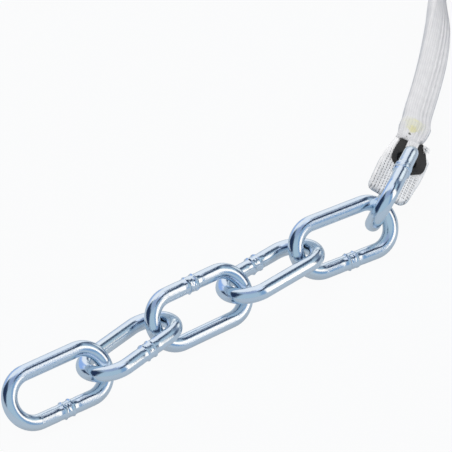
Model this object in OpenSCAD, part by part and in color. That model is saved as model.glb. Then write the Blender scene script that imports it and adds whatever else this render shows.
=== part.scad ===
// Cattle tie chain: six welded links that hang from the lined eye of a woven strap.
// The chain lies along X on the plane Z = 0, with its free end towards -X.

/* [Chain links] */
// Diameter of the round wire
wire_d = 8; // [6:0.5:9]
// Inside length of a link, which is the pitch of the chain
link_inner_l = 47; // [42:1:56]
// Outside width of a link
link_outer_w = 33; // [32:0.5:38]
// How far the ridges of the butt weld stand out from the wire
weld_bulge = 0.7; // [0.3:0.1:1.2]
// Length of the weld along the wire
weld_l = 6; // [4:0.5:9]
// Free play between two links that hang in each other
link_play = 1.15; // [0.8:0.05:1.6]

/* [Strap] */
// Width of the folded strap
strap_w = 15; // [12:0.5:18]
// Thickness of the folded strap
strap_t = 5.5; // [4:0.5:7]
// Radius at which the spare strap starts to wind up
loop_r = 92; // [86:1:110]
// Turn of the spare strap, in degrees
loop_turn = 460; // [400:5:480]
// Room between the turns of the spare strap
loop_gap = 16; // [12:1:20]

/* [Sewn ends] */
// Width of the flat tab that holds the eye
tab_w = 23; // [20:0.5:25]
// Thickness of the tab, which is folded double
tab_t = 4; // [3:0.2:4.4]
// Reach of the tab from the eye to its folded end
tab_reach = 31; // [28:1:36]
// Reach of the tab from the eye to its end under the strap
tab_tail = 24; // [22:1:30]
// Thickness of the strap where it ends on the tab
strap_end_t = 2.2; // [1.6:0.2:3]
// How far the strap lies to one side of the tab's middle
strap_aside = 2.5; // [0:0.5:3]
// Width of the tongue of strap that covers the top of the liner
tongue_w = 6; // [5:0.5:9]
// Thickness of the tongue
tongue_t = 1.6; // [1:0.2:2.2]

/* [Eye liner] */
// Bore of the liner's sleeve
eye_bore_d = 11; // [10.8:0.1:12]
// Wall of the liner's sleeve
sleeve_wall = 1.2; // [0.8:0.1:1.6]
// Width of the liner's flange across its flats
flange_w = 17.6; // [17:0.2:20]
// Reach of the flange from the eye towards the folded end
flange_low = 7.4; // [7.2:0.2:9]
// Reach of the flange from the eye towards the strap
flange_high = 17; // [14:0.5:18]
// Thickness of the flange and of the ring behind the tab
flange_t = 1.2; // [0.8:0.1:1.4]
// Corner cut of the eight-sided flange
flange_cut = 5; // [3:0.5:6]

/* [Hidden] */
$fn = 64;

// How each link lies: heading, pitch and lean, in degrees, from the free end to the eye
link_yaw = [-4, 9, -3, 3, -8, 35];
link_pitch = [0, 0, 0, 0, 0, -9];
link_lean = [54, -16, 54, -14, 54, -67];
// Side of each link that carries its weld: 1 is the side that its lean lifts
weld_side = [-1, -1, 1, 1, -1, -1];
// How the strap's first tab lies
tab_yaw = 34;
tab_pitch = -2;
tab_lean = 25;
// Place of link 5, which sets the origin under the middle of the chain
link_5_x = 64.2;
link_5_y = -15;

wire_r = wire_d / 2;
bow_r = link_outer_w / 2 - wire_r;
half_l = (link_inner_l + wire_d) / 2;
leg_half = half_l - bow_r;
chain_z = bow_r * sin(link_lean[4]) + wire_r + weld_bulge;
nest = wire_d + link_play;

// Turn matrix of a piece with a heading, a pitch and a lean
function turn(yaw, pitch, lean) =
    [[cos(yaw), -sin(yaw), 0], [sin(yaw), cos(yaw), 0], [0, 0, 1]]
    * [[cos(pitch), 0, -sin(pitch)], [0, 1, 0], [sin(pitch), 0, cos(pitch)]]
    * [[1, 0, 0], [0, cos(lean), -sin(lean)], [0, sin(lean), cos(lean)]];
function link_turn(n) = turn(link_yaw[n], link_pitch[n], link_lean[n]);
function ahead(n) = link_turn(n) * [1, 0, 0];

// Middle of each link, worked out from its neighbour's bow
mid_5 = [link_5_x, link_5_y, chain_z];
mid_4 = mid_5 - ahead(4) * half_l - ahead(3) * (half_l - nest);
mid_3 = mid_4 - ahead(3) * (half_l - nest) - ahead(2) * half_l;
mid_2 = mid_3 - ahead(2) * half_l - ahead(1) * (half_l - nest);
mid_1 = mid_2 - ahead(1) * (half_l - nest) - ahead(0) * half_l;
// Link 6 hooks over the raised shoulder of link 5
hook = [leg_half + 0.58 * wire_d, bow_r - 0.87 * wire_d, 0.9 * wire_d];
foot_6 = mid_5 + link_turn(4) * hook;
mid_6 = foot_6 + ahead(5) * half_l;
// The wire lies off the middle of the bore, on the strap's side
pull = 0.5;
tab_turn = turn(tab_yaw, tab_pitch, tab_lean);
eye = mid_6 + ahead(5) * half_l - tab_turn * [pull, 0, 0];
mids = [mid_1, mid_2, mid_3, mid_4, mid_5, mid_6];

module leg(side) {
    translate([0, side * bow_r, 0]) rotate([0, 90, 0])
        cylinder(r = wire_r, h = 2 * leg_half, center = true);
}

module bow() {
    translate([leg_half, 0, 0]) rotate([0, 0, -90])
        rotate_extrude(angle = 180) translate([bow_r, 0]) circle(r = wire_r);
}

// Butt weld: a low collar with a ridge of flash at each edge
module weld() {
    ridge = weld_l / 6;
    collar_r = wire_r + weld_bulge / 2;
    ridge_r = wire_r + weld_bulge;
    edge = weld_l / 2;
    rotate([0, 90, 0]) rotate_extrude()
        polygon([[0, -edge], [wire_r, -edge], [ridge_r, -edge + ridge * 0.6],
                 [ridge_r, -edge + ridge], [collar_r, -edge + ridge * 1.8],
                 [collar_r, edge - ridge * 1.8], [ridge_r, edge - ridge],
                 [ridge_r, edge - ridge * 0.6], [wire_r, edge], [0, edge]]);
}

module welded_link(side) {
    leg(1);
    leg(-1);
    bow();
    mirror([1, 0, 0]) bow();
    translate([0, side * bow_r, 0]) weld();
}

module placed_link(n) {
    color("lightsteelblue")
        translate(mids[n]) rotate([0, 0, link_yaw[n]]) rotate([0, -link_pitch[n], 0])
        rotate([link_lean[n], 0, 0]) welded_link(weld_side[n]);
}

module link_1() { placed_link(0); }
module link_2() { placed_link(1); }
module link_3() { placed_link(2); }
module link_4() { placed_link(3); }
module link_5() { placed_link(4); }
module link_6() { placed_link(5); }

// Sewn end: X runs from the eye towards the strap, Z is the front face's normal
strap_start = flange_high + 0.6;
tail_low = strap_aside - strap_w / 2 + 1;
tail_high = strap_aside + strap_w / 2 - 1;
// Corner radii of the fold: one corner is drawn in further than the other
fold_round = [8, 4];

module tab_outline() {
    hull() {
        for (side = [0, 1]) {
            radius = fold_round[side];
            translate([-tab_reach + radius, (2 * side - 1) * (tab_w / 2 - radius)]) circle(r = radius);
            translate([0, (2 * side - 1) * (tab_w / 2 - radius)]) circle(r = radius);
        }
    }
    polygon([[0, -tab_w / 2], [flange_low, -tab_w / 2], [strap_start, tail_low],
             [tab_tail, tail_low], [tab_tail, tail_high], [strap_start, tail_high],
             [flange_low, tab_w / 2], [0, tab_w / 2]]);
}

// Webbing tab, folded double at its free end, with the hole for the sleeve
module sewn_tab() {
    sleeve_r = eye_bore_d / 2 + sleeve_wall;
    difference() {
        translate([0, 0, -tab_t / 2]) linear_extrude(tab_t) tab_outline();
        translate([0, 0, -tab_t]) cylinder(r = sleeve_r, h = 2 * tab_t);
    }
}

module flange_outline() {
    half_w = flange_w / 2;
    polygon([[-flange_low, -half_w + flange_cut], [-flange_low + flange_cut, -half_w],
             [flange_high - flange_cut, -half_w], [flange_high, -half_w + flange_cut],
             [flange_high, half_w - flange_cut], [flange_high - flange_cut, half_w],
             [-flange_low + flange_cut, half_w], [-flange_low, half_w - flange_cut]]);
}

// Moulded liner: an eight-sided flange in front with a sleeve through the tab
module moulded_liner() {
    difference() {
        union() {
            translate([0, 0, tab_t / 2]) linear_extrude(flange_t) flange_outline();
            translate([0, 0, -tab_t / 2 - flange_t])
                cylinder(r = eye_bore_d / 2 + sleeve_wall, h = tab_t + 2 * flange_t);
        }
        translate([0, 0, -tab_t]) cylinder(d = eye_bore_d, h = 2 * tab_t);
    }
}

// Ring that is pressed on the sleeve behind the tab
module pressed_ring() {
    translate([0, 0, -tab_t / 2 - flange_t]) difference() {
        cylinder(r = flange_w / 2 - 0.4, h = flange_t);
        translate([0, 0, -flange_t]) cylinder(r = eye_bore_d / 2 + sleeve_wall, h = 3 * flange_t);
    }
}

// Tongue of strap over the top of the flange, as far as the strap's own end
module tongue() {
    front = tab_t / 2 + flange_t;
    low = eye_bore_d / 2 + 2.5;
    translate([low, -tongue_w / 2, front]) cube([strap_start - low + 1, tongue_w, tongue_t]);
}

// Strap: a ring of eight corners, swept along the route
corner_cut = 0.29;
function ring_corners() = [[0.5, 0.5, 0, -1], [0.5, 0.5, -1, 0], [-0.5, 0.5, 1, 0], [-0.5, 0.5, 0, -1],
                           [-0.5, -0.5, 0, 1], [-0.5, -0.5, 1, 0], [0.5, -0.5, -1, 0],
                           [0.5, -0.5, 0, 1]];
function unit(v) = v / norm(v);
function ring_at(p, dir, lean, t) =
    let(side = unit(cross([0, 0, 1], dir)), up = cross(dir, side), cut = corner_cut * t,
        wide = side * cos(lean) + up * sin(lean), thick = up * cos(lean) - side * sin(lean))
    [for (c = ring_corners()) p + wide * (c[0] * strap_w + c[2] * cut) + thick * (c[1] * t + c[3] * cut)];

// Smooth value between four neighbours of a list
function blend_at(list, i, t) =
    let(n = len(list) - 1, a = list[max(i - 1, 0)], b = list[i], c = list[min(i + 1, n)],
        d = list[min(i + 2, n)])
    0.5 * (2 * b + (c - a) * t + (2 * a - 5 * b + 4 * c - d) * t * t
           + (3 * b - a - 3 * c + d) * t * t * t);

// Sweep along points, with the thickness of the first and of the last ring
module sweep(points, leans, first_dir, last_dir, first_t = strap_t, last_t = strap_t) {
    n = len(points);
    rings = [for (i = [0:n - 1])
                 let(dir = i == 0 ? first_dir : i == n - 1 ? last_dir : unit(points[i + 1] - points[i - 1]),
                     t = i == 0 ? first_t : i == n - 1 ? last_t : strap_t)
                 each ring_at(points[i], dir, leans[i], t)];
    polyhedron(points = rings,
        faces = [[for (k = [0:7]) k], [for (k = [7:-1:0]) (n - 1) * 8 + k],
                 for (i = [0:n - 2]) for (k = [0:7])
                     let(a = i * 8 + k, b = i * 8 + (k + 1) % 8)
                     each [[a, a + 8, b], [b, a + 8, b + 8]]]);
}

// Both ends of the strap lie on a tab: the thin end at the liner, the full section past the seam
seam_end = tab_tail + 2;
thin_end = [strap_start, strap_aside, tab_t / 2 + strap_end_t / 2];
full_end = [seam_end, strap_aside, tab_t / 2 + strap_t / 2];

// The strap rests on its lower edge where it leans: the height of its middle there
function band_rise(lean) = strap_w / 2 * sin(lean) + strap_t / 2 * cos(lean);

// Route of the strap from the tab to the start of its loop, as offsets from the eye
loop_first_lean = 74;
route = [eye + tab_turn * full_end,
         eye + [31, 25, 1], eye + [56, 46, -3.5], eye + [79, 66, -6.5], eye + [99, 85, -7],
         [eye[0] + 119, eye[1] + 107, band_rise(loop_first_lean)]];
route_lean = [tab_lean, 24, 22, 28, 44, loop_first_lean];
last = len(route) - 1;
steps = 2;
run_points = [eye + tab_turn * thin_end,
              for (i = [0:last - 1]) for (s = [0:steps - 1]) blend_at(route, i, s / steps),
              route[last]];
run_leans = [tab_lean, for (i = [0:last - 1]) for (s = [0:steps - 1]) blend_at(route_lean, i, s / steps),
             route_lean[last]];

// Loop of spare strap on edge: a spiral that closes in towards its end, where it leans back down
loop_heading = 44;
loop_dir = [cos(loop_heading), sin(loop_heading), 0];
loop_mid = route[last] + loop_r * [loop_dir[1], -loop_dir[0], 0];
loop_steps = 30;
curl = 1.4 * loop_gap;
far_lean = 30;
far_eye_z = tab_w / 2 * sin(far_lean) + (tab_t / 2 + flange_t) * cos(far_lean);
far_rise = far_eye_z + (turn(0, 0, -far_lean) * full_end)[2];
function before(a, room) = max(0, 1 - a / room);
function past(a, room) = max(0, (a - loop_turn + room) / room);
function loop_lean(a) = 90 - (90 - loop_first_lean) * before(a, 60) - (90 - far_lean) * past(a, 110);
function spiral_r(a) = loop_r - loop_gap * a / 360 - curl * pow(past(a, 180), 2);
function spiral_z(a) = band_rise(loop_lean(a)) + (far_rise - band_rise(far_lean)) * past(a, 110);
function spiral_at(a) =
    let(way = loop_heading + 90 - a)
    [loop_mid[0] + spiral_r(a) * cos(way), loop_mid[1] + spiral_r(a) * sin(way), spiral_z(a)];

spiral_end = spiral_at(loop_turn);
end_step = spiral_end - spiral_at(loop_turn - 2);
end_yaw = atan2(end_step[1], end_step[0]);
end_dir = [cos(end_yaw), sin(end_yaw), 0];

// Far sewn end, at the end of the loop: its tab rests on the lower edge of its fold
far_yaw = end_yaw + 180;
far_turn = turn(far_yaw, 0, -far_lean);
far_eye = spiral_end - far_turn * full_end;
loop_angles = [for (i = [0:loop_steps]) loop_turn * i / loop_steps];
loop_points = [for (a = loop_angles) spiral_at(a), far_eye + far_turn * thin_end];
loop_leans = [for (a = loop_angles) loop_lean(a), far_lean];

module at_eye() {
    translate(eye) rotate([0, 0, tab_yaw]) rotate([0, -tab_pitch, 0]) rotate([tab_lean, 0, 0])
        children();
}

module at_far_eye() {
    translate(far_eye) rotate([0, 0, far_yaw]) rotate([-far_lean, 0, 0]) children();
}

module strap_run() {
    color("whitesmoke") {
        sweep(run_points, run_leans, tab_turn * [1, 0, 0], loop_dir, first_t = strap_end_t);
        at_eye() tongue();
    }
}

module strap_loop() {
    color("whitesmoke") {
        sweep(loop_points, loop_leans, loop_dir, end_dir, last_t = strap_end_t);
        at_far_eye() tongue();
    }
}

module strap_tab() { color("gainsboro") at_eye() sewn_tab(); }
module eye_liner() { color("dimgray") at_eye() moulded_liner(); }
module eye_back_ring() { color("dimgray") at_eye() pressed_ring(); }
module far_strap_tab() { color("gainsboro") at_far_eye() sewn_tab(); }
module far_eye_liner() { color("dimgray") at_far_eye() moulded_liner(); }
module far_eye_back_ring() { color("dimgray") at_far_eye() pressed_ring(); }

link_1();
link_2();
link_3();
link_4();
link_5();
link_6();
strap_tab();
eye_liner();
eye_back_ring();
strap_run();
strap_loop();
far_strap_tab();
far_eye_liner();
far_eye_back_ring();
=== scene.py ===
# %% [markdown]
# # A cattle tie chain
# The object is a short steel chain that hangs from the lined eye of a woven strap.
# The CAD model gives the places and sizes. This lesson gives the pieces their final
# skin: bright zinc on the links, ribbed cloth on the sewn ends, folded cloth on the
# strap and dull plastic in the eyes. The first cell loads the CAD model as a frame
# that nothing here may move.

# %% Load the frame
import math
import random

import bmesh
import bpy
from mathutils import Matrix, Vector, noise


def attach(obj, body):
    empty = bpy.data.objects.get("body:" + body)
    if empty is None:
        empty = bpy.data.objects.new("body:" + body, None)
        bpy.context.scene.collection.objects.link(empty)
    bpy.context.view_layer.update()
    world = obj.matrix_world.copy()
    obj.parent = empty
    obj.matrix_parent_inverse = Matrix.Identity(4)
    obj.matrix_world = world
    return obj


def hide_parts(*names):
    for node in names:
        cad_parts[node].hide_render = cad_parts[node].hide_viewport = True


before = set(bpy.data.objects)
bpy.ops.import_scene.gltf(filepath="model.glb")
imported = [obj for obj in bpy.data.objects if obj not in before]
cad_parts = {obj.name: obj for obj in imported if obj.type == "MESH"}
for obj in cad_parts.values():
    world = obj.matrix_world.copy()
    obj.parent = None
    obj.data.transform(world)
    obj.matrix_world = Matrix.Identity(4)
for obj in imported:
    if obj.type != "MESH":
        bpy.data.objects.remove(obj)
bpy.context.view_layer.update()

# %% [markdown]
# ## The camera
# The photo looks down at 38 degrees. Seen from above, the chain runs 40 degrees away
# from the picture's lower edge. A long lens from almost three metres keeps the links
# nearly in scale, as a catalogue picture does. The aim point is the middle of the
# picture: a point of the chain in millimetres, and two steps across the picture.

# %% Camera
MM = 0.001
look = Vector((0.5065, 0.6036, -0.6157)).normalized()
picture_right = Vector((0.766, -0.643, 0)).normalized()
picture_up = picture_right.cross(look).normalized()
chain_point = Vector((-28.5, -12.0, 15.5))
aim = (chain_point + picture_right * 13.95 + picture_up * 40.3) * MM
half_picture = 0.1115
distance = 2.9
camera = bpy.data.objects.new("camera", bpy.data.cameras.new("camera"))
bpy.context.collection.objects.link(camera)
axes = Matrix((picture_right, picture_up, -look)).transposed().to_4x4()
camera.matrix_world = Matrix.Translation(aim - look * distance) @ axes
camera.data.lens = camera.data.sensor_width / 2 / (half_picture / distance)
bpy.context.scene.camera = camera
bpy.context.scene.view_settings.view_transform = "Standard"
print("camera at", [round(x, 3) for x in camera.location], "lens", round(camera.data.lens))

# %% [markdown]
# ## Frames for the pieces
# Each piece is drawn in its own small frame and then carried to its place by one
# matrix. A frame has a heading round the upright, a pitch, and a lean about its own
# length, in that order, which is how the solids were laid as well.


# %% Turning a piece
def turned(heading, pitch, lean):
    return (
        Matrix.Rotation(math.radians(heading), 4, "Z")
        @ Matrix.Rotation(math.radians(-pitch), 4, "Y")
        @ Matrix.Rotation(math.radians(lean), 4, "X")
    )


print("a lean of 90 turns Y to", [round(x, 3) for x in turned(0, 0, 90) @ Vector((0, 1, 0))])

# %% [markdown]
# ## Where the links and the eyes are
# Each link's middle follows from its neighbour's, because the bows rest in each
# other. Two bows overlap by the wire and a little play. The last link hooks over the
# shoulder of the fifth, and its far bow passes the eye. Nothing is read off the
# solids: the same few lengths and angles lead to the same places. The list of angles
# holds a heading, a pitch and a lean for each link, from the free end to the eye.

# %% Chain layout
wire_r = 4 * MM
bow_r = 12.5 * MM
leg_half = 15 * MM
half_l = leg_half + bow_r
nest = 9.15 * MM
weld_rise = 4.7 * MM
lay = [(-4, 0, 54), (9, 0, -16), (-3, 0, 54), (3, 0, -14), (-8, 0, 54), (35, -9, -67)]
weld_side = [-1, -1, 1, 1, -1, -1]
turns = [turned(*angles) for angles in lay]
ahead = [m @ Vector((1, 0, 0)) for m in turns]
middles = [None] * 6
chain_z = bow_r * math.sin(math.radians(lay[4][2])) + weld_rise
middles[4] = Vector((64.2 * MM, -15 * MM, chain_z))
middles[3] = middles[4] - ahead[4] * half_l - ahead[3] * (half_l - nest)
middles[2] = middles[3] - ahead[3] * (half_l - nest) - ahead[2] * half_l
middles[1] = middles[2] - ahead[2] * half_l - ahead[1] * (half_l - nest)
middles[0] = middles[1] - ahead[1] * (half_l - nest) - ahead[0] * half_l
hook = Vector((19.64, 5.54, 7.2)) * MM
middles[5] = middles[4] + turns[4] @ hook + ahead[5] * half_l
tab_lean = 25
tab_turn = turned(34, -2, tab_lean)
bow_in_eye = Vector((0.5 * MM, 0, 0))
eye = middles[5] + ahead[5] * half_l - tab_turn @ bow_in_eye
near_end = Matrix.Translation(eye) @ tab_turn
print("eye", [round(x, 5) for x in eye])

# %% [markdown]
# ## Making and joining meshes
# Most pieces here are a ring of edges that travels: round a link or along the strap.
# One helper carries a ring through a list of frames by extruding it. Others bridge
# rings that are already there, for the moulded pieces. The last turns the finished
# bmesh into an object, and marks the edges that turn sharply, so smooth shading keeps
# its crisp borders.
# Extruded faces come in another order each run, so they are sorted by their points.


# %% Mesh helpers
def fix_face_order(bm):
    bm.verts.index_update()
    in_order = sorted(bm.faces, key=lambda face: [vert.index for vert in face.verts])
    for place, face in enumerate(in_order):
        face.index = place
    bm.faces.sort()


def mesh_piece(name, bm, body, material, crease=40):
    bmesh.ops.recalc_face_normals(bm, faces=bm.faces)
    for edge in bm.edges:
        edge.smooth = edge.calc_face_angle(0) < math.radians(crease)
    fix_face_order(bm)
    mesh = bpy.data.meshes.new(name)
    bm.to_mesh(mesh)
    bm.free()
    mesh.materials.append(material)
    mesh.polygons.foreach_set("use_smooth", [True] * len(mesh.polygons))
    piece = bpy.data.objects.new(name, mesh)
    bpy.context.collection.objects.link(piece)
    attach(piece, body)
    print(name, len(mesh.polygons), "faces")
    return piece


def carry(bm, edges, frames, on_ring=None):
    for before, after in zip(frames, frames[1:]):
        made = bmesh.ops.extrude_edge_only(bm, edges=edges)["geom"]
        ring = [g for g in made if isinstance(g, bmesh.types.BMVert)]
        fresh = set(ring)
        edges = [g for g in made if isinstance(g, bmesh.types.BMEdge) and fresh.issuperset(g.verts)]
        bmesh.ops.transform(bm, matrix=after @ before.inverted(), verts=ring)
        if on_ring:
            on_ring(ring, (after.translation - before.translation).length)
    return edges


def join(bm, first, second):
    bmesh.ops.bridge_loops(bm, edges=first + second)


def join_round(bm, loops):
    for first, second in zip(loops, loops[1:] + loops[:1]):
        join(bm, first, second)


print("helpers ready")

# %% [markdown]
# ## Shader groups
# Two effects serve more than one material, so each is a node group with named
# inputs. The first draws the ribs and threads of woven cloth from the piece's own
# UV map, which is in metres. The second gives a slow, faint unevenness, for the
# ripple of plated steel and for the mottle of cloth and moulded plastic.


# %% Node helpers
def new_group(name, inputs, outputs):
    group = bpy.data.node_groups.new(name, "ShaderNodeTree")
    for label, kind, value in inputs:
        socket = group.interface.new_socket(label, in_out="INPUT", socket_type=kind)
        if value is not None:
            socket.default_value = value
    for label, kind in outputs:
        group.interface.new_socket(label, in_out="OUTPUT", socket_type=kind)
    return group, group.nodes.new("NodeGroupInput"), group.nodes.new("NodeGroupOutput")


def maths(tree, operation, *values):
    node = tree.nodes.new("ShaderNodeMath")
    node.operation = operation
    for socket, value in zip(node.inputs, values):
        if isinstance(value, (int, float)):
            socket.default_value = value
        else:
            tree.links.new(value, socket)
    return node.outputs[0]


def spread(tree, value, low, high, to_low=0.0, to_high=1.0):
    node = tree.nodes.new("ShaderNodeMapRange")
    node.interpolation_type = "SMOOTHSTEP"
    tree.links.new(value, node.inputs["Value"])
    limits = {"From Min": low, "From Max": high, "To Min": to_low, "To Max": to_high}
    for label, number in limits.items():
        node.inputs[label].default_value = number
    return node.outputs["Result"]


print("node helpers ready")

# %% Woven ribs
weave, w_in, w_out = new_group(
    "woven_ribs",
    [
        ("Vector", "NodeSocketVector", None),
        ("Ribs", "NodeSocketFloat", 800.0),
        ("Threads", "NodeSocketFloat", 900.0),
        ("Slant", "NodeSocketFloat", 0.3),
    ],
    [("Groove", "NodeSocketFloat"), ("Height", "NodeSocketFloat")],
)
xyz = weave.nodes.new("ShaderNodeSeparateXYZ")
weave.links.new(w_in.outputs["Vector"], xyz.inputs[0])
wobble = weave.nodes.new("ShaderNodeTexNoise")
wobble.inputs["Scale"].default_value = 160.0
wobble.inputs["Detail"].default_value = 2.0
weave.links.new(w_in.outputs["Vector"], wobble.inputs["Vector"])
shift = maths(weave, "MULTIPLY", maths(weave, "SUBTRACT", wobble.outputs["Fac"], 0.5), 0.5)
ribs_gone = maths(weave, "MULTIPLY", xyz.outputs["X"], w_in.outputs["Ribs"])
across = maths(weave, "ADD", ribs_gone, shift)
threads_gone = maths(weave, "MULTIPLY", xyz.outputs["Y"], w_in.outputs["Threads"])
along = maths(weave, "ADD", threads_gone, shift)
rib = maths(weave, "ABSOLUTE", maths(weave, "SINE", maths(weave, "MULTIPLY", across, math.pi)))
slanted = maths(weave, "ADD", along, maths(weave, "MULTIPLY", across, w_in.outputs["Slant"]))
thread = maths(weave, "ABSOLUTE", maths(weave, "SINE", maths(weave, "MULTIPLY", slanted, math.pi)))
deep = spread(weave, rib, 0.05, 0.6, 1.0, 0.0)
broken = spread(weave, thread, 0.35, 0.85, 0.05, 1.0)
groove = maths(weave, "MULTIPLY", deep, broken)
thread_height = maths(weave, "MULTIPLY", maths(weave, "POWER", thread, 0.5), 0.35)
height = maths(weave, "ADD", maths(weave, "POWER", rib, 0.5), thread_height)
weave.links.new(groove, w_out.inputs["Groove"])
weave.links.new(height, w_out.inputs["Height"])
print("woven_ribs", len(weave.nodes), "nodes")

# %% Faint unevenness
uneven, u_in, u_out = new_group(
    "uneven_surface",
    [
        ("Vector", "NodeSocketVector", None),
        ("Scale", "NodeSocketFloat", 60.0),
        ("Low", "NodeSocketFloat", 0.0),
        ("High", "NodeSocketFloat", 1.0),
    ],
    [("Value", "NodeSocketFloat"), ("Fine", "NodeSocketFloat")],
)
slow = uneven.nodes.new("ShaderNodeTexNoise")
slow.inputs["Detail"].default_value = 3.0
fine = uneven.nodes.new("ShaderNodeTexNoise")
fine.inputs["Detail"].default_value = 4.0
for node in (slow, fine):
    uneven.links.new(u_in.outputs["Vector"], node.inputs["Vector"])
uneven.links.new(u_in.outputs["Scale"], slow.inputs["Scale"])
uneven.links.new(maths(uneven, "MULTIPLY", u_in.outputs["Scale"], 12.0), fine.inputs["Scale"])
ramp = uneven.nodes.new("ShaderNodeMapRange")
uneven.links.new(slow.outputs["Fac"], ramp.inputs["Value"])
ramp.inputs["From Min"].default_value = 0.3
ramp.inputs["From Max"].default_value = 0.7
uneven.links.new(u_in.outputs["Low"], ramp.inputs["To Min"])
uneven.links.new(u_in.outputs["High"], ramp.inputs["To Max"])
uneven.links.new(ramp.outputs["Result"], u_out.inputs["Value"])
uneven.links.new(fine.outputs["Fac"], u_out.inputs["Fine"])
print("uneven_surface", len(uneven.nodes), "nodes")


# %% [markdown]
# ## Materials
# A material holds its own Principled shader. A value that is the same all over is
# set straight on its socket, and only what changes over the surface comes in
# through nodes.


# %% Material helpers
def new_material(name, color, roughness, metallic=0.0):
    material = bpy.data.materials.new(name)
    material.use_nodes = True
    tree = material.node_tree
    shader = tree.nodes["Principled BSDF"]
    shader.inputs["Base Color"].default_value = (*color, 1)
    shader.inputs["Roughness"].default_value = roughness
    shader.inputs["Metallic"].default_value = metallic
    material.diffuse_color = (*color, 1)
    return material, tree, shader


def use_group(tree, group, vector=None, **values):
    node = tree.nodes.new("ShaderNodeGroup")
    node.node_tree = group
    if vector is None:
        vector = tree.nodes.new("ShaderNodeTexCoord").outputs["Object"]
    tree.links.new(vector, node.inputs["Vector"])
    for label, value in values.items():
        node.inputs[label].default_value = value
    return node


def blend_colors(tree, mask, first, second):
    node = tree.nodes.new("ShaderNodeMix")
    node.data_type = "RGBA"
    tree.links.new(mask, node.inputs["Factor"])
    for label, value in (("A", first), ("B", second)):
        socket = [s for s in node.inputs if s.name == label and s.type == "RGBA"][0]
        if isinstance(value, tuple):
            socket.default_value = (*value, 1)
        else:
            tree.links.new(value, socket)
    return [s for s in node.outputs if s.type == "RGBA"][0]


def add_bump(tree, shader, height, strength, depth):
    bump = tree.nodes.new("ShaderNodeBump")
    bump.inputs["Strength"].default_value = strength
    bump.inputs["Distance"].default_value = depth
    tree.links.new(height, bump.inputs["Height"])
    tree.links.new(bump.outputs["Normal"], shader.inputs["Normal"])


def attribute(tree, name):
    node = tree.nodes.new("ShaderNodeAttribute")
    node.attribute_type = "GEOMETRY"
    node.attribute_name = name
    return node


print("material helpers ready")

# %% [markdown]
# ### Bright zinc
# The links have a thin blue zinc plate, so the steel is a mirror with a cold tint.
# The wire was drawn, which leaves faint streaks along it. Each link carries its own
# running coordinate for that, in a mesh attribute, so the streaks follow the bows.

# %% Bright zinc
zinc, tree, shader = new_material("bright_zinc", (0.75, 0.84, 0.91), 0.12, 1.0)
drawn = attribute(tree, "wire_place").outputs["Vector"]
ripple = use_group(tree, uneven, drawn, Scale=0.5, Low=0.04, High=0.12)
tree.links.new(ripple.outputs["Value"], shader.inputs["Roughness"])
tone = use_group(tree, uneven, Scale=34.0, Low=0.0, High=1.0)
zinc_color = blend_colors(tree, tone.outputs["Value"], (0.72, 0.82, 0.92), (0.79, 0.86, 0.91))
tree.links.new(zinc_color, shader.inputs["Base Color"])
add_bump(tree, shader, ripple.outputs["Fine"], 0.16, 0.0002)
print("zinc has", len(tree.nodes), "nodes")

# %% [markdown]
# ### Dull plastic
# The eye liner is a soft black moulding. It has a fine eroded grain and hardly any
# gloss.

# %% Dull plastic
plastic, tree, shader = new_material("dull_plastic", (0.030, 0.028, 0.027), 0.6)
shader.inputs["Specular IOR Level"].default_value = 0.3
grain = use_group(tree, uneven, Scale=90.0, Low=0.5, High=0.72)
tree.links.new(grain.outputs["Value"], shader.inputs["Roughness"])
plastic_low = (0.022, 0.021, 0.02)
plastic_high = (0.042, 0.039, 0.037)
plastic_tone = blend_colors(tree, grain.outputs["Fine"], plastic_low, plastic_high)
tree.links.new(plastic_tone, shader.inputs["Base Color"])
add_bump(tree, shader, grain.outputs["Fine"], 0.2, 0.0001)
print("plastic has", len(tree.nodes), "nodes")

# %% [markdown]
# ### Woven cloth
# Both kinds of webbing come from one recipe. Ribs run along the piece, threads cross them, and the
# grooves get painted shade, so they are darker than the crowns. A piece may add marks of its own
# through a function that changes the paint, the painted shade of the grooves and the height of the
# weave. One such mark is a spot: a stain with a ragged rim.


# %% Cloth recipe
def cloth_material(name, color, shade, ribs, threads, depth, extra=None, bump=0.45):
    material, tree, shader = new_material(name, color, 0.85)
    shader.inputs["Sheen Weight"].default_value = 0.15
    shader.inputs["Specular IOR Level"].default_value = 0.25
    uv = tree.nodes.new("ShaderNodeUVMap")
    uv.uv_map = "Cloth"
    woven = use_group(tree, weave, uv.outputs["UV"], Ribs=ribs, Threads=threads)
    mottle = use_group(tree, uneven, Scale=170.0, Low=0.0, High=0.17)
    # Painted shade: the weave's grooves are darkened towards the shade colour.
    dark = maths(tree, "MULTIPLY", woven.outputs["Groove"], depth)
    lift = woven.outputs["Height"]
    paint = blend_colors(tree, mottle.outputs["Value"], color, shade)
    if extra:
        paint, dark, lift = extra(tree, uv.outputs["UV"], paint, dark, lift)
    paint = blend_colors(tree, dark, paint, shade)
    tree.links.new(paint, shader.inputs["Base Color"])
    add_bump(tree, shader, lift, bump, 0.0003)
    print(name, "has", len(tree.nodes), "nodes")
    return material


def spots(tree, paint, places):
    coordinates = tree.nodes.new("ShaderNodeTexCoord")
    ragged = tree.nodes.new("ShaderNodeTexNoise")
    ragged.inputs["Scale"].default_value = 900.0
    tree.links.new(coordinates.outputs["Object"], ragged.inputs["Vector"])
    for centre, radius, color, strength in places:
        gap = tree.nodes.new("ShaderNodeVectorMath")
        gap.operation = "DISTANCE"
        tree.links.new(coordinates.outputs["Object"], gap.inputs[0])
        gap.inputs[1].default_value = centre
        rough = maths(tree, "MULTIPLY", maths(tree, "SUBTRACT", ragged.outputs["Fac"], 0.5), radius)
        reach = maths(tree, "ADD", gap.outputs["Value"], rough)
        stained = spread(tree, reach, radius * 0.35, radius, strength, 0.0)
        paint = blend_colors(tree, stained, paint, color)
    return paint


print("cloth recipe ready")

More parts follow.
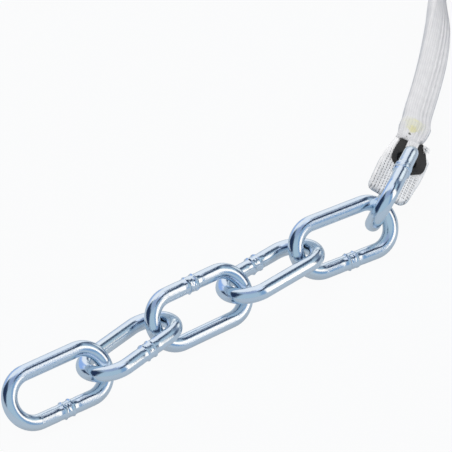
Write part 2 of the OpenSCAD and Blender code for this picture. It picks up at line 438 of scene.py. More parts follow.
# %% [markdown]
# ## The route of the strap
# The strap is webbing folded lengthwise to a band of 15 by 5.5 mm. It leaves the
# sewn end, rises on edge and winds up in a loop beside the chain, out of the
# picture. At the loop's end it leans back down to the far sewn end. The route is a
# smooth curve through a few points, which are given in millimetres from the eye, then
# a spiral that closes in. A lean of 90 degrees stands the band on its edge.

# %% Route points
strap_w = 15 * MM
strap_t = 5.5 * MM
strap_aside = 2.5 * MM
seam_end = 26 * MM
tab_w = 23 * MM
front = 2.0 * MM
flange_t = 1.2 * MM
loop_heading = 44
loop_first_lean = 74
loop_r = 92 * MM
loop_turn = 460
loop_gap = 16 * MM
curl = 1.4 * loop_gap
far_lean = 30
full_end = Vector((seam_end, strap_aside, 4.75 * MM))


def ease(t):
    t = min(1, max(0, t))
    return t * t * (3 - 2 * t)


def band_rise(lean):
    return strap_w / 2 * math.sin(math.radians(lean)) + strap_t / 2 * math.cos(math.radians(lean))


offsets = ((31, 25, 1), (56, 46, -3.5), (79, 66, -6.5), (99, 85, -7))
route = [near_end @ full_end] + [eye + Vector(offset) * MM for offset in offsets]
route.append(Vector((eye.x + 119 * MM, eye.y + 107 * MM, band_rise(loop_first_lean))))
route_lean = [tab_lean, 24, 22, 28, 44, loop_first_lean]
print("route of", len(route), "points")


# %% Curve through the points
def between(values, i, t):
    a, b = values[max(i - 1, 0)], values[i]
    c, d = values[min(i + 1, len(values) - 1)], values[min(i + 2, len(values) - 1)]
    square = 2 * a - 5 * b + 4 * c - d
    cube = 3 * b - a - 3 * c + d
    return 0.5 * (2 * b + (c - a) * t + square * t * t + cube * t**3)


stations = []
steps_between = 8
for i in range(len(route) - 1):
    for step in range(steps_between):
        t = step / steps_between
        stations.append((between(route, i, t), between(route_lean, i, t)))
print(len(stations), "stations on the run")

# %% Spiral
loop_way = Vector((math.cos(math.radians(loop_heading)), math.sin(math.radians(loop_heading)), 0))
loop_mid = route[-1] + loop_r * Vector((loop_way.y, -loop_way.x, 0))
far_tilt = math.radians(far_lean)
far_eye_z = tab_w / 2 * math.sin(far_tilt) + (front + flange_t) * math.cos(far_tilt)
far_rise = far_eye_z + (turned(0, 0, -far_lean) @ full_end).z


stand_up = 60
lie_down = 110
curl_in = 180


def near_the_end(angle, room):
    return max(0, (angle - loop_turn + room) / room)


def loop_lean(angle):
    leaning_in = (90 - loop_first_lean) * max(0, 1 - angle / stand_up)
    return 90 - leaning_in - (90 - far_lean) * near_the_end(angle, lie_down)


def spiral(angle):
    way = math.radians(loop_heading + 90 - angle)
    radius = loop_r - loop_gap * angle / 360 - curl * near_the_end(angle, curl_in) ** 2
    lift = (far_rise - band_rise(far_lean)) * near_the_end(angle, lie_down)
    rise = band_rise(loop_lean(angle)) + lift
    x = loop_mid.x + radius * math.cos(way)
    y = loop_mid.y + radius * math.sin(way)
    return Vector((x, y, rise))


loop_steps = 116
for i in range(loop_steps + 1):
    angle = loop_turn * i / loop_steps
    stations.append((spiral(angle), loop_lean(angle)))
end_step = spiral(loop_turn) - spiral(loop_turn - 2)
far_heading = math.degrees(math.atan2(end_step.y, end_step.x)) + 180
far_turn = turned(far_heading, 0, -far_lean)
far_end = Matrix.Translation(spiral(loop_turn) - far_turn @ full_end) @ far_turn
print("far eye", [round(x, 5) for x in far_end.translation])


# %% [markdown]
# ## The strap
# A band like this is a section that is carried along the route. Its section has the grooves between the
# folded plies, all on one half, and each point of it knows how deep in a groove it lies, for the
# painted shade in the folds. Where the strap ends on the tab, its plies are cut back in steps, so the
# section thins out there and its last part laps over the liner. A row of the lap gives the way from the
# eye, the thickness and the height above the tab's middle, in millimetres.


# %% Frames along the strap
def station_frames(stations):
    points = [p for p, _ in stations]
    frames = []
    for i, (point, lean) in enumerate(stations):
        way = (points[min(i + 1, len(points) - 1)] - points[max(i - 1, 0)]).normalized()
        side = Vector((0, 0, 1)).cross(way).normalized()
        up = way.cross(side)
        turn = math.radians(lean)
        wide = side * math.cos(turn) + up * math.sin(turn)
        thick = up * math.cos(turn) - side * math.sin(turn)
        frames.append(Matrix.Translation(point) @ Matrix((way, wide, thick)).transposed().to_4x4())
    return frames


thin_part = [
    (14.1, 0.5, 3.52), (14.8, 1.1, 3.82), (15.7, 1.6, 4.06), (17.1, 2.0, 4.26),
    (18.7, 3.1, 3.64), (21, 4.3, 4.2), (23.5, 5.1, 4.6),
]
lap = [
    Matrix.Translation((x * MM, strap_aside, z * MM)) @ Matrix.Diagonal((1, 1, t * MM / strap_t, 1))
    for x, t, z in thin_part
]
half_turn = Matrix.Rotation(math.pi, 4, "Z")
near_part = [near_end @ m for m in lap]
far_part = [far_end @ m @ half_turn for m in reversed(lap)]
strap_frames = near_part + station_frames(stations) + far_part

# %% Section of the folded band
fold_lines = [(-0.06, 0.5), (-0.34, 0.9), (-0.6, 0.8), (-0.83, 0.55)]
fold_width = 0.07
fold_depth = 0.55 * MM
round_from = 0.82


def depth_at(y):
    return sum(d * math.exp(-(((y - g) / fold_width) ** 2)) for g, d in fold_lines)


def band_section():
    half_w = strap_w / 2
    half_t = strap_t / 2
    top = []
    for i in range(61):
        y = 1 - 2 * i / 60
        shoulder = max(0, abs(y) - round_from) / (1 - round_from)
        crown = 1 - 0.14 * y * y - 0.42 * shoulder**2
        top.append((y * half_w, half_t * crown - depth_at(y) * fold_depth, depth_at(y)))
    edge = [(1, 0.1), (0.98, 0.7), (0.9, 1)]
    folded_edge = [(-half_w * w, -half_t * t, 0.2 if t < 1 else 0) for w, t in edge]
    bottom = [(half_w * (0.8 * i / 4 - 0.8), -half_t, 0) for i in range(1, 8)]
    plain_edge = [(half_w * w, -half_t * t, 0) for w, t in reversed(edge)]
    return top + folded_edge + bottom + plain_edge


section = band_section()
print("section of", len(section), "points")


# %% Sweep of the band
def swept(section, frames):
    bm = bmesh.new()
    cloth = bm.loops.layers.uv.new("Cloth")
    across = bm.verts.layers.float.new("across")
    along = bm.verts.layers.float.new("along")
    fold = bm.verts.layers.float.new("fold")
    ring = [bm.verts.new((0, y, z)) for y, z, _ in section]
    reach = [0.0]
    for (y0, z0, _), (y1, z1, _) in zip(section, section[1:] + section[:1]):
        reach.append(reach[-1] + math.hypot(y1 - y0, z1 - z0))
    for vert, gone, mark in zip(ring, reach, section):
        vert[across] = gone
        vert[fold] = mark[2]
    edges = [bm.edges.new(pair) for pair in zip(ring, ring[1:] + ring[:1])]
    bmesh.ops.contextual_create(bm, geom=edges)
    bmesh.ops.transform(bm, matrix=frames[0], verts=ring)

    def count_length(ring, travel):
        for vert in ring:
            vert[along] += travel

    edges = carry(bm, edges, frames, count_length)
    bmesh.ops.contextual_create(bm, geom=edges)
    for face in bm.faces:
        reached = [v[across] for v in face.verts]
        wraps = max(reached) - min(reached) > reach[-1] / 2 and len(face.verts) == 4
        for loop in face.loops:
            u = loop.vert[across]
            if wraps and u < reach[-1] / 2:
                u += reach[-1]
            loop[cloth].uv = (u, loop.vert[along])
    return bm


print("sweep ready")

# %% [markdown]
# ### Marks and painted shade on the strap
# A pale yellow stain of glue and a few specks of dirt lie where the strap ends on the near tab. The
# fold lines get painted shade, a little darker. Where the strap lies on the tab, its left rim sinks and
# swells outwards, and its right rim is tucked in at the end, which is cut at a slant. The lengths are
# millimetres in the tab's own frame.


# %% Strap
def strap_marks(tree, uv, paint, dark, lift):
    places = [
        (near_end @ (Vector((25.0, 4.4, 6.9)) * MM), 7.4 * MM, (0.68, 0.68, 0.5), 0.6),
        (near_end @ (Vector((21.0, 4.1, 6.2)) * MM), 3.0 * MM, (0.72, 0.68, 0.34), 0.7),
        (near_end @ (Vector((28.5, 4.4, 7.2)) * MM), 2.2 * MM, (0.78, 0.75, 0.40), 0.5),
        (near_end @ (Vector((17.6, 4.6, 5.4)) * MM), 1.15 * MM, (0.05, 0.05, 0.03), 0.95),
        (near_end @ (Vector((14.9, 5.2, 4.8)) * MM), 0.6 * MM, (0.08, 0.08, 0.05), 0.8),
    ]
    paint = spots(tree, paint, places)
    # Painted shade: points deep in the strap's folds are darkened.
    line = maths(tree, "MULTIPLY", attribute(tree, "fold").outputs["Fac"], 0.3)
    return paint, maths(tree, "MAXIMUM", dark, line), lift


slant_from = 18.7


def lay_down_rim(bm, end):
    back = end.inverted()
    for vert in bm.verts:
        spot = back @ vert.co
        if abs(spot.y) < 12 * MM and abs(spot.z) < 10 * MM and 13 * MM < spot.x < 34 * MM:
            x = spot.x / MM
            y = spot.y / MM
            sink = ease((y - 6.6) / 1.8) * (1 - ease((x - 16.8) / 1.6))
            sink_at_tip = ease((y - 7.2) / 1.2) * (1 - ease((x - 13.6) / 2.4))
            swell = math.exp(-(((x - 24.5) / 5.0) ** 2)) * ease((y - 4.0) / 4.0)
            tuck = ease((-2 - y) / 3) * (1 - ease((x - 17) / 6))
            spot.z -= (1.2 * sink + 0.4 * sink_at_tip) * MM
            spot.y += (1.3 * swell + 0.9 * tuck) * MM
            spot.z -= 0.5 * MM * swell
            if x < slant_from:
                spot.x += (slant_from - x) * 0.72 * ease((-1.9 - y) / 0.9) * MM
            vert.co = end @ spot


strap_white = (0.75, 0.75, 0.765)
strap_shade = (0.38, 0.38, 0.41)
strap_cloth = cloth_material(
    "strap_cloth", strap_white, strap_shade, ribs=800.0, threads=900.0, depth=0.36,
    extra=strap_marks, bump=0.35,
)
bm = swept(section, strap_frames)
lay_down_rim(bm, near_end)
lay_down_rim(bm, far_end)
strap = mesh_piece("woven_strap", bm, "strap", strap_cloth)
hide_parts("strap_run", "strap_loop")

# %% [markdown]
# ## The sewn ends
# The tab is the webbing turned back on itself, so it is made the same way: one ply runs down the front,
# round the fold and up the back. A row of points is extruded across the width, the corners of the fold
# are drawn in, and Solidify gives the ply its thickness. A Boolean cuts the hole that the plastic
# sleeve fills. Both rims are smooth strips without ribs, the left one a slanted hem, and two rows of
# stitches run down the right one, which is also painted a little lighter as painted light. The map of
# the cloth is shifted, so that it has no negative places. Each needle hole between two stitches gets
# painted shade.

# %% Tab cloth
map_shift = 0.1
hem_slant = 0.11
# The right rim's white is a little lighter than the ribbed cloth: painted light.
lit_rim_white = (0.97, 0.97, 0.975)
stitch_rows = (-6.2, -8.3)
stitch_pitch = 2.2


def tab_marks(tree, uv, paint, dark, lift):
    xyz = tree.nodes.new("ShaderNodeSeparateXYZ")
    tree.links.new(uv, xyz.inputs[0])
    x = xyz.outputs["X"]
    y = xyz.outputs["Y"]
    from_hem = maths(tree, "MULTIPLY_ADD", y, hem_slant, x)
    hem_zero = map_shift * (1 + hem_slant)
    left = spread(tree, from_hem, hem_zero + 9.2 * MM, hem_zero + 10.4 * MM, 1.0, 0.0)
    right = spread(tree, x, map_shift - 5.2 * MM, map_shift - 4.4 * MM, 0.0, 1.0)
    ribbed = maths(tree, "MULTIPLY", left, right)
    weave_shows = maths(tree, "MULTIPLY_ADD", ribbed, 0.9, 0.1)
    dark = maths(tree, "MULTIPLY", dark, weave_shows)
    lift = maths(tree, "MULTIPLY", lift, weave_shows)
    # Painted shade: a dark needle hole between each two stitches in both rows.
    beat = maths(tree, "PINGPONG", y, stitch_pitch / 2 * MM)
    hole = spread(tree, beat, 0.35 * MM, 0.8 * MM, 0.7, 0.0)
    from_first = spread(tree, y, map_shift - 8.5 * MM, map_shift - 7.5 * MM, 1.0, 0.0)
    to_last = spread(tree, y, map_shift - 28.5 * MM, map_shift - 28.0 * MM, 0.0, 1.0)
    hole = maths(tree, "MULTIPLY", hole, maths(tree, "MULTIPLY", from_first, to_last))
    # Painted light: the smooth right rim is painted lighter, as if more light fell on it.
    paint = blend_colors(tree, right, lit_rim_white, paint)
    for row in stitch_rows:
        off = maths(tree, "ABSOLUTE", maths(tree, "SUBTRACT", x, map_shift + row * MM))
        near_row = spread(tree, off, 0.4 * MM, 0.85 * MM, 1.0, 0.0)
        dark = maths(tree, "MAXIMUM", dark, maths(tree, "MULTIPLY", hole, near_row))
    return paint, dark, lift


tab_white = (0.96, 0.96, 0.97)
tab_shade = (0.1, 0.105, 0.12)
tab_cloth = cloth_material(
    "tab_cloth", tab_white, tab_shade, ribs=640.0, threads=430.0, depth=1.0, extra=tab_marks
)
tab_reach = 31 * MM
tab_tail = 24 * MM
ply = 1.9 * MM
ply_middle = 1.02 * MM
fold_inset = 1.97 * MM
hole_r = 6.6 * MM


# %% Outline of the tab
def corner(x, start, radius):
    gone = min(1, max(0, (start - x) / radius))
    return radius * (1 - math.sqrt(1 - gone * gone))


def tab_edges(x):
    x = x / MM
    high = 12.3 - 3.2 * ease((x + 8) / 32) - corner(x, -24.6, 6.9) * 0.8
    taper = min(1, max(0, (-4 - x) / 27))
    low = -11.2 + 2.4 * taper**1.3 + corner(x, -23.0, 8.5) * 0.75
    if x > 7.4:
        low += 7.2 * ease((x - 7.4) / 9)
    return low * MM, high * MM


print("tab edges at the eye", [round(e / MM, 1) for e in tab_edges(0)])


# %% Tab
def applied(piece):
    evaluated = piece.evaluated_get(bpy.context.evaluated_depsgraph_get())
    mesh = bpy.data.meshes.new_from_object(evaluated)
    old = piece.data
    piece.modifiers.clear()
    piece.data = mesh
    bpy.data.meshes.remove(old)
    mesh.name = piece.name


def tab_row():
    row = [(tab_tail - i * MM, ply_middle) for i in range(54)]
    bend = [math.pi * k / 8 for k in range(9)]
    fold_x = -tab_reach + fold_inset
    row += [(fold_x - ply_middle * math.sin(a), ply_middle * math.cos(a)) for a in bend]
    return row + [(x, -z) for x, z in reversed(row[:54])]


def map_flat(bm, cloth):
    for face in bm.faces:
        for loop in face.loops:
            loop[cloth].uv = (loop.vert.co.y + map_shift, loop.vert.co.x + map_shift)


def tab_piece(name, end):
    bm = bmesh.new()
    cloth = bm.loops.layers.uv.new("Cloth")
    verts = [bm.verts.new((x, 0, z)) for x, z in tab_row()]
    edges = [bm.edges.new(pair) for pair in zip(verts, verts[1:])]
    carry(bm, edges, [Matrix.Translation((0, i / 24, 0)) for i in range(25)])
    for vert in bm.verts:
        low, high = tab_edges(vert.co.x)
        share = vert.co.y
        rim = max(0, abs(share - 0.5) - 0.42) / 0.08
        vert.co.y = low + (high - low) * share
        vert.co.z -= math.copysign(0.3 * MM * rim**2, vert.co.z)
    map_flat(bm, cloth)
    bmesh.ops.transform(bm, matrix=end, verts=bm.verts)
    piece = mesh_piece(name, bm, "strap", tab_cloth)
    thick = piece.modifiers.new("ply", "SOLIDIFY")
    thick.thickness = ply
    thick.offset = 0
    drill = bmesh.new()
    bmesh.ops.create_cone(
        drill, cap_ends=True, segments=64, radius1=hole_r, radius2=hole_r, depth=12 * MM, matrix=end
    )
    cutter = bpy.data.objects.new("cutter", bpy.data.meshes.new("cutter"))
    drill.to_mesh(cutter.data)
    drill.free()
    bpy.context.collection.objects.link(cutter)
    cut = piece.modifiers.new("hole", "BOOLEAN")
    cut.operation = "DIFFERENCE"
    cut.object = cutter
    cut.solver = "EXACT"
    applied(piece)
    bpy.data.objects.remove(cutter)
    return piece


tab = tab_piece("ribbed_tab", near_end)
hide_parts("strap_tab")
far_tab = tab_piece("far_ribbed_tab", far_end)
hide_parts("far_strap_tab")

# %% [markdown]
# ## Stitches
# Each stitch is a short bead of thread that sinks into the cloth at both ends, so a
# small stretched ball is enough. A bmesh collects them all as one piece for each
# end. A row stops where the tab's rounded corner comes too near.

# %% Stitches
thread_white, tree, shader = new_material("sewing_thread", (0.84, 0.84, 0.85), 0.7)
twist = use_group(tree, uneven, Scale=400.0, Low=0.0, High=1.0)
thread_color = blend_colors(tree, twist.outputs["Value"], (0.78, 0.78, 0.79), (0.88, 0.88, 0.88))
tree.links.new(thread_color, shader.inputs["Base Color"])
first_stitch = -9.9
last_stitch = -27.5
stitch_rise = 2.02
room_at_rim = 1.2


def stitch_piece(name, end):
    bm = bmesh.new()
    size = Matrix.Diagonal((0.85 * MM, 0.34 * MM, 0.26 * MM, 1))
    for row in stitch_rows:
        x = first_stitch
        while x > last_stitch:
            low, _ = tab_edges(x * MM)
            if row * MM > low + room_at_rim * MM:
                place = end @ Matrix.Translation((x * MM, row * MM, stitch_rise * MM)) @ size
                bmesh.ops.create_uvsphere(bm, u_segments=10, v_segments=6, radius=1, matrix=place)
            x -= stitch_pitch
    return mesh_piece(name, bm, "strap", thread_white)


stitch_piece("stitches", near_end)
far_stitches = stitch_piece("far_stitches", far_end)

# %% [markdown]
# ## The tongue and the frayed end
# The strap's uppermost ply isn't cut back with the others. It runs on as a narrow
# tongue over the top of the liner, down to its bore. It is one small sheet: a grid
# that is bent, narrowed and thickened. Loose fibres stand out where the strap's
# corner was cut, each a thin tapered tube carried along a bent line.


# %% Tongue
tongue_tip = 6.0
tongue_length = 9.6
tongue_w = 5.9
tongue_rise = 4.3


def tongue_piece(name, end):
    bm = bmesh.new()
    cloth = bm.loops.layers.uv.new("Cloth")
    bmesh.ops.create_grid(bm, x_segments=20, y_segments=12, size=0.5)
    for vert in bm.verts:
        t = vert.co.x + 0.5
        share = vert.co.y
        nose = 1 - 0.35 * max(0, 1 - t / 0.25) ** 2
        drop = 0.9 * max(0, 1 - t / 0.3) ** 2
        x = tongue_tip + tongue_length * t
        y = 0.5 + share * tongue_w * nose
        z = tongue_rise - drop - 0.5 * share * share * (1 - t)
        vert.co = Vector((x, y, z)) * MM
    map_flat(bm, cloth)
    bmesh.ops.transform(bm, matrix=end, verts=bm.verts)
    bmesh.ops.recalc_face_normals(bm, faces=bm.faces)
    bmesh.ops.solidify(bm, geom=bm.faces[:], thickness=1.0 * MM)
    return mesh_piece(name, bm, "strap", strap_cloth, 80)


tongue_piece("tongue", near_end)
far_tongue = tongue_piece("far_tongue", far_end)


# %% Frayed corner
def thrown(dice, *limits):
    return Vector([dice.uniform(low, high) for low, high in limits])


def fray_piece(name, end, foot, way, count, seed):
    dice = random.Random(seed)
    bm = bmesh.new()
    for _ in range(count):
        start = foot + thrown(dice, (-0.9, 0.9), (-0.5, 0.5), (-0.5, 0.5))
        aim_way = way + thrown(dice, (-0.6, 0.6), (-0.3, 0.3), (-0.5, 0.5))
        bend = thrown(dice, (-1.2, 0.2), (-0.4, 0.6), (-0.9, 0.1))
        length = dice.uniform(2.2, 4.4)
        frames = []
        for i in range(7):
            t = i / 6
            point = start + aim_way.normalized() * length * t + bend * t * t
            thin = (0.22 - 0.14 * t) * MM
            frames.append(end @ Matrix.Translation(point * MM) @ Matrix.Diagonal((thin, thin, thin, 1)))
        made = bmesh.ops.create_circle(bm, cap_ends=True, segments=5, radius=1, matrix=frames[0])
        edges = list({edge for vert in made["verts"] for edge in vert.link_edges})
        edges = carry(bm, edges, frames)
        bmesh.ops.contextual_create(bm, geom=edges)
    return mesh_piece(name, bm, "strap", thread_white, 80)


foot = Vector((15.2, -5.4, 4.2))
outwards = Vector((-0.8, -1.0, 0.25))
fray_piece("frayed_corner", near_end, foot, outwards, count=34, seed=4)
print("frayed corner at", [round(x, 4) for x in near_end @ (foot * MM)])

# %% [markdown]
# ## The eye liners
# The liner is moulded: an angular flange in front, a sleeve through the cloth and a
# pressed ring behind. The flange's outline is a flat polygon. A row of its list is a
# corner's place and how far from it the rounding begins, in millimetres, more on the
# left than on the right. A bridge joins the outline to a circle, and more circles
# lead down the bore and back up the sleeve's outer wall.

# %% Flange outline
flange_corners = [
    (-8.5, -4.9, 0.7), (-3.5, -9.6, 0.7), (-0.3, -10.5, 0.8), (5.2, -10.3, 0.8), (11.2, -8.2, 0.8),
    (16.8, -6.0, 0.6), (18.2, -4.3, 0.4), (18.2, 4.0, 0.5), (13.4, 7.4, 1.2), (4.2, 8.2, 2.2),
    (-1.2, 8.2, 1.8), (-4.8, 6.9, 1.6), (-7.7, 3.0, 1.2),
]


def rounded_outline(corners):
    points = []
    for i, (x, y, cut) in enumerate(corners):
        here = Vector((x, y))
        back = here + (Vector(corners[i - 1][:2]) - here).normalized() * cut
        on = here + (Vector(corners[(i + 1) % len(corners)][:2]) - here).normalized() * cut
        for step in range(6):
            t = step / 5
            points.append(back * (1 - t) ** 2 + here * 2 * t * (1 - t) + on * t * t)
    return [(p.x * MM, p.y * MM) for p in points]


outline = rounded_outline(flange_corners)
print("flange outline of", len(outline), "points")


# %% Liner
def ring_of(bm, points, z):
    verts = [bm.verts.new((x, y, z)) for x, y in points]
    return [bm.edges.new(pair) for pair in zip(verts, verts[1:] + verts[:1])]


circle_start = math.pi + 0.55


def circle_of(bm, radius, z):
    place = Matrix.Translation((0, 0, z)) @ Matrix.Rotation(circle_start, 4, "Z")
    verts = bmesh.ops.create_circle(bm, segments=66, radius=radius * MM, matrix=place)["verts"]
    return list({edge for vert in verts for edge in vert.link_edges})


def liner_piece(name, end):
    bm = bmesh.new()
    top = front + flange_t
    low = -front - flange_t
    middle = Vector((4.6, -0.6)) * MM
    inner = [tuple(middle + (Vector(p) - middle) * 0.975) for p in outline]
    sleeve = [
        (6.3, top), (5.85, top - 0.1 * MM), (5.6, top - 0.32 * MM), (5.52, top - 0.7 * MM),
        (5.52, low + 0.4 * MM), (5.75, low + 0.02 * MM), (6.5, low + 0.02 * MM), (6.55, front),
    ]
    loops = [ring_of(bm, inner, top)]
    loops += [circle_of(bm, radius, z) for radius, z in sleeve]
    loops.append(ring_of(bm, inner, front))
    loops.append(ring_of(bm, outline, front + 0.2 * MM))
    loops.append(ring_of(bm, outline, top - 0.3 * MM))
    join_round(bm, loops)
    bmesh.ops.transform(bm, matrix=end, verts=bm.verts)
    return mesh_piece(name, bm, "strap", plastic, 30)


def back_ring_piece(name, end):
    bm = bmesh.new()
    low = -front - flange_t
    wall = [
        (6.75, low + 0.1 * MM), (7.0, low), (8.1, low), (8.35, low + 0.25 * MM),
        (8.4, -front), (6.75, -front),
    ]
    join_round(bm, [circle_of(bm, radius, z) for radius, z in wall])
    bmesh.ops.transform(bm, matrix=end, verts=bm.verts)
    return mesh_piece(name, bm, "strap", plastic, 30)


liner = liner_piece("moulded_liner", near_end)
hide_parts("eye_liner")
back_ring = back_ring_piece("pressed_ring", near_end)
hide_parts("eye_back_ring")
far_liner = liner_piece("far_moulded_liner", far_end)
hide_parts("far_eye_liner")
far_ring = back_ring_piece("far_pressed_ring", far_end)
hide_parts("far_eye_back_ring")

# %% [markdown]
# ## The welded links
# A link is bent from round wire and welded shut on one side. A circle of edges is
# extruded once round the link and joined to its own start. Then the points near the
# weld move outwards: a low collar with a ridge of flash at each edge, a little
# uneven all round, and two shallow marks beside it from the machine's jaws. The ring
# places along the weld, and the lengths in the weld's recipe, are millimetres.


# %% Frames round a link
def link_frames(side):
    weld = [i / 3 - 3.333 for i in range(21)]
    lower = [-15, -12, -9, -7, -6, -5.2, -4.4, -3.8] + weld + [3.8, 4.4, 5.2, 6, 7, 9, 12]
    frames = [Matrix.Translation((x * MM, side * bow_r, 0)) for x in lower]
    bends = [math.pi * i / 30 for i in range(30)]
    frames += [
        Matrix.Translation((leg_half + bow_r * math.sin(a), side * bow_r * math.cos(a), 0))
        @ Matrix.Rotation(-side * a, 4, "Z")
        for a in bends
    ]
    back = Matrix.Rotation(-side * math.pi, 4, "Z")
    plain_leg = [leg_half - 2.5 * i * MM for i in range(12)]
    frames += [Matrix.Translation((x, -side * bow_r, 0)) @ back for x in plain_leg]
    frames += [
        Matrix.Translation((-leg_half - bow_r * math.sin(a), -side * bow_r * math.cos(a), 0))
        @ Matrix.Rotation(-side * (math.pi + a), 4, "Z")
        for a in bends
    ]
    return frames


def weld_radius(x, angle, seed):
    spot = Vector((x * 0.9, math.cos(angle) * 1.4 + seed * 7, math.sin(angle) * 1.4))
    rough = noise.noise(spot * 1.7)
    ridge = math.exp(-(((abs(x) - 2.3 + 0.2 * rough) / 0.36) ** 2))
    collar = 1 / (1 + math.exp((abs(x) - 2.4) / 0.12))
    marks = math.exp(-(((abs(x) - 5.0) / 1.0) ** 2)) * 0.10
    return wire_r + MM * (0.55 * ridge * (1 + 0.5 * rough) + 0.16 * collar * (1 + 0.9 * rough) - marks)


print(len(link_frames(1)), "rings round a link")


# %% Links
def link_piece(number):
    side = weld_side[number]
    bm = bmesh.new()
    wire_place = bm.verts.layers.float_vector.new("wire_place")
    frames = link_frames(side)
    across = Matrix.Rotation(math.pi / 2, 4, "Y")
    bmesh.ops.create_circle(bm, segments=48, radius=wire_r, matrix=frames[0] @ across)
    first = list(bm.edges)
    for vert in bm.verts:
        out = vert.co - frames[0].translation
        vert[wire_place] = Vector((number * 9, out.y, out.z)) / MM

    def run_on(ring, travel):
        for vert in ring:
            vert[wire_place] = vert[wire_place] + Vector((travel / MM * 0.22, 0, 0))

    last = carry(bm, first, frames, run_on)
    join(bm, first, last)
    for vert in bm.verts:
        x = vert.co.x / MM
        if abs(x) < 7.5 and vert.co.y * side > 0:
            out = Vector((0, vert.co.y - side * bow_r, vert.co.z))
            radius = weld_radius(x, math.atan2(out.z, out.y), number + 1)
            vert.co = Vector((vert.co.x, side * bow_r, 0)) + out.normalized() * radius
    place = Matrix.Translation(middles[number]) @ turns[number]
    bmesh.ops.transform(bm, matrix=place, verts=bm.verts)
    body = f"link_{number + 1}"
    piece = mesh_piece(f"welded_{body}", bm, body, zinc, 80)
    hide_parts(body)


for number in range(6):
    link_piece(number)

# %% [markdown]
# ## The strap's far fitting
# The strap's fitting at the far end goes with it.

# %% [markdown]
# ## Floor, light and surroundings
# Mirror-bright zinc shows what stands round it, so the look of the chain is the look
# of the studio. Only glossy rays see it: for the camera the world is white, and for
# all other light it is an even dim white. The floor is a dull blue-grey sheet. It
# glows nearly white for the camera, so only a faint shadow is left on it, and a
# third as much for the glossy rays.

# %% Floor
bm = bmesh.new()
bmesh.ops.create_circle(bm, cap_ends=True, segments=96, radius=2.5)
floor_mesh = bpy.data.meshes.new("floor")
bm.to_mesh(floor_mesh)
bm.free()
floor = bpy.data.objects.new("floor", floor_mesh)
bpy.context.collection.objects.link(floor)
paper, tree, shader = new_material("white_paper", (0.22, 0.32, 0.43), 0.9)
shader.inputs["Specular IOR Level"].default_value = 0.0
glow = tree.nodes.new("ShaderNodeEmission")
light_path = tree.nodes.new("ShaderNodeLightPath")
mix = tree.nodes.new("ShaderNodeMixShader")
for_camera = maths(tree, "MULTIPLY", light_path.outputs["Is Camera Ray"], 0.95)
glow_share = maths(tree, "MULTIPLY_ADD", light_path.outputs["Is Glossy Ray"], 0.35, for_camera)
tree.links.new(glow_share, mix.inputs["Fac"])
tree.links.new(shader.outputs["BSDF"], mix.inputs[1])
tree.links.new(glow.outputs["Emission"], mix.inputs[2])
tree.links.new(mix.outputs["Shader"], tree.nodes["Material Output"].inputs["Surface"])
floor_mesh.materials.append(paper)
print("floor", len(floor_mesh.polygons), "face")

# %% [markdown]
# ### The studio
# A direction has a climb above the floor and a heading: 0 looks to the camera's side,
# 90 to the right of the picture. For what stands beyond the chain, "behind" counts
# from the far side instead, so no panel crosses the seam of the angles. A panel is a
# patch between two angles and two climbs in degrees, with a soft rim. Later ones
# cover earlier ones. A dark gap between the panels and the ceiling makes the thin
# navy line along every link. It sinks a little past heading 100. A narrow dark post
# comes last.

# %% Directions in the studio
world = bpy.data.worlds.new("studio")
bpy.context.scene.world = world
world.use_nodes = True
tree = world.node_tree
direction = tree.nodes.new("ShaderNodeTexCoord").outputs["Generated"]


def part_along(axis):
    node = tree.nodes.new("ShaderNodeVectorMath")
    node.operation = "DOT_PRODUCT"
    tree.links.new(direction, node.inputs[0])
    node.inputs[1].default_value = axis
    return node.outputs["Value"]


degree = 180 / math.pi
towards = part_along((-0.643, -0.766, 0))
rightward = part_along((0.766, -0.643, 0))
climb = maths(tree, "MULTIPLY", maths(tree, "ARCSINE", part_along((0, 0, 1))), degree)
heading = maths(tree, "MULTIPLY", maths(tree, "ARCTAN2", rightward, towards), degree)
flip = [maths(tree, "MULTIPLY", part, -1.0) for part in (rightward, towards)]
behind = maths(tree, "MULTIPLY", maths(tree, "ARCTAN2", *flip), degree)
print("studio angles use", len(tree.nodes), "nodes")


# %% Panels of the studio
def between_edges(value, low, high, soft):
    rise = spread(tree, value, low - soft, low + soft)
    if high is None:
        return rise
    return maths(tree, "MULTIPLY", rise, spread(tree, value, high - soft, high + soft, 1.0, 0.0))


def paint_panel(paint, angle, left, right, low, high, soft, color):
    wide = between_edges(angle, left, right, soft)
    tall = between_edges(climb, low, high, soft)
    return blend_colors(tree, maths(tree, "MULTIPLY", wide, tall), paint, color)


deep_navy = (0.010, 0.022, 0.065)
pale_navy = (0.05, 0.08, 0.14)
walls = (0.44, 0.57, 0.67)
ceiling = (0.32, 0.40, 0.58)
window_light = (1.55, 1.38, 1.24)
panels = [
    (heading, 84, 162, 60, None, 3, (0.86, 0.92, 1.05)),  # bright part of the ceiling
    (behind, -19, 64, -30, 80, 4, (0.93, 0.94, 0.98)),  # tall white panel at the back
    (behind, 14, 62, -30, 22, 4, (0.34, 0.50, 0.84)),  # its blue foot
    (heading, -114, -47, -30, 56, 8, (0.022, 0.04, 0.09)),  # dark left wall
    (heading, 40, 72, -30, 50, 3, (0.25, 0.40, 0.60)),  # blue wall on the window's near side
    (heading, 116, 162, -30, 46, 5, (0.20, 0.26, 0.36)),  # grey wall at the back right
    (heading, 90, 118, -30, 28, 5, (0.08, 0.11, 0.18)),  # dark wall on its far side
    (heading, 130, 148, -30, 22, 3, (1.0, 1.03, 1.02)),  # low white board
    (heading, 69, 87, 32, 49, 2, window_light),  # upper pane
    (heading, 64, 87, -30, 36, 2, window_light),  # lower pane
]
navy = blend_colors(tree, spread(tree, heading, 108, 126), deep_navy, pale_navy)
room = blend_colors(tree, spread(tree, climb, 48, 72), walls, ceiling)
for panel in panels:
    room = paint_panel(room, *panel)
past_hundred = maths(tree, "MAXIMUM", maths(tree, "SUBTRACT", heading, 100.0), 0.0)
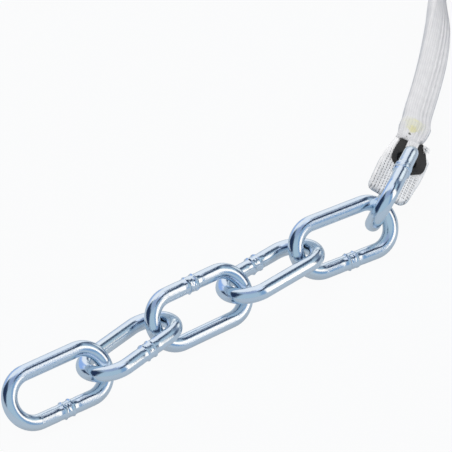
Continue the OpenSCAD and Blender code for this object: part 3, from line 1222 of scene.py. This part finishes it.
from_gap = maths(tree, "ADD", climb, maths(tree, "MULTIPLY_ADD", past_hundred, 0.12, -61.5))
gap_climb = between_edges(from_gap, -7.5, 6.5, 2)
gap = maths(tree, "MULTIPLY", gap_climb, between_edges(heading, 40, 156, 4))
room = blend_colors(tree, gap, room, navy)
room = paint_panel(room, heading, 150, 158, 7, 52, 1.5, (0.015, 0.028, 0.07))
print("studio has", len(tree.nodes), "nodes")

# %% World
fill_light = 0.56
sky = tree.nodes["Background"]
tree.links.new(room, sky.inputs["Color"])
plain = tree.nodes.new("ShaderNodeBackground")
plain.inputs["Color"].default_value = (1, 1, 1, 1)
plain.inputs["Strength"].default_value = fill_light
white = tree.nodes.new("ShaderNodeBackground")
white.inputs["Color"].default_value = (1, 1, 1, 1)
rays = tree.nodes.new("ShaderNodeLightPath")
gloss_or_not = tree.nodes.new("ShaderNodeMixShader")
tree.links.new(rays.outputs["Is Glossy Ray"], gloss_or_not.inputs["Fac"])
tree.links.new(plain.outputs["Background"], gloss_or_not.inputs[1])
tree.links.new(sky.outputs["Background"], gloss_or_not.inputs[2])
camera_or_not = tree.nodes.new("ShaderNodeMixShader")
tree.links.new(rays.outputs["Is Camera Ray"], camera_or_not.inputs["Fac"])
tree.links.new(gloss_or_not.outputs["Shader"], camera_or_not.inputs[1])
tree.links.new(white.outputs["Background"], camera_or_not.inputs[2])
tree.links.new(camera_or_not.outputs["Shader"], tree.nodes["World Output"].inputs["Surface"])
print("world has", len(tree.nodes), "nodes")


# %% Lamps
def panel_lamp(name, place, size, power):
    lamp = bpy.data.objects.new(name, bpy.data.lights.new(name, "AREA"))
    lamp.data.shape = "DISK"
    lamp.data.size = size
    lamp.data.energy = power
    lamp.location = place
    lamp.rotation_euler = (-Vector(place)).to_track_quat("-Z", "Y").to_euler()
    bpy.context.collection.objects.link(lamp)
    lamp.visible_glossy = False


panel_lamp("back_panel", (0.1, 0.7, 1.4), 1.4, 12)
panel_lamp("front_window", (0.55, -1.15, 0.75), 0.8, 6)
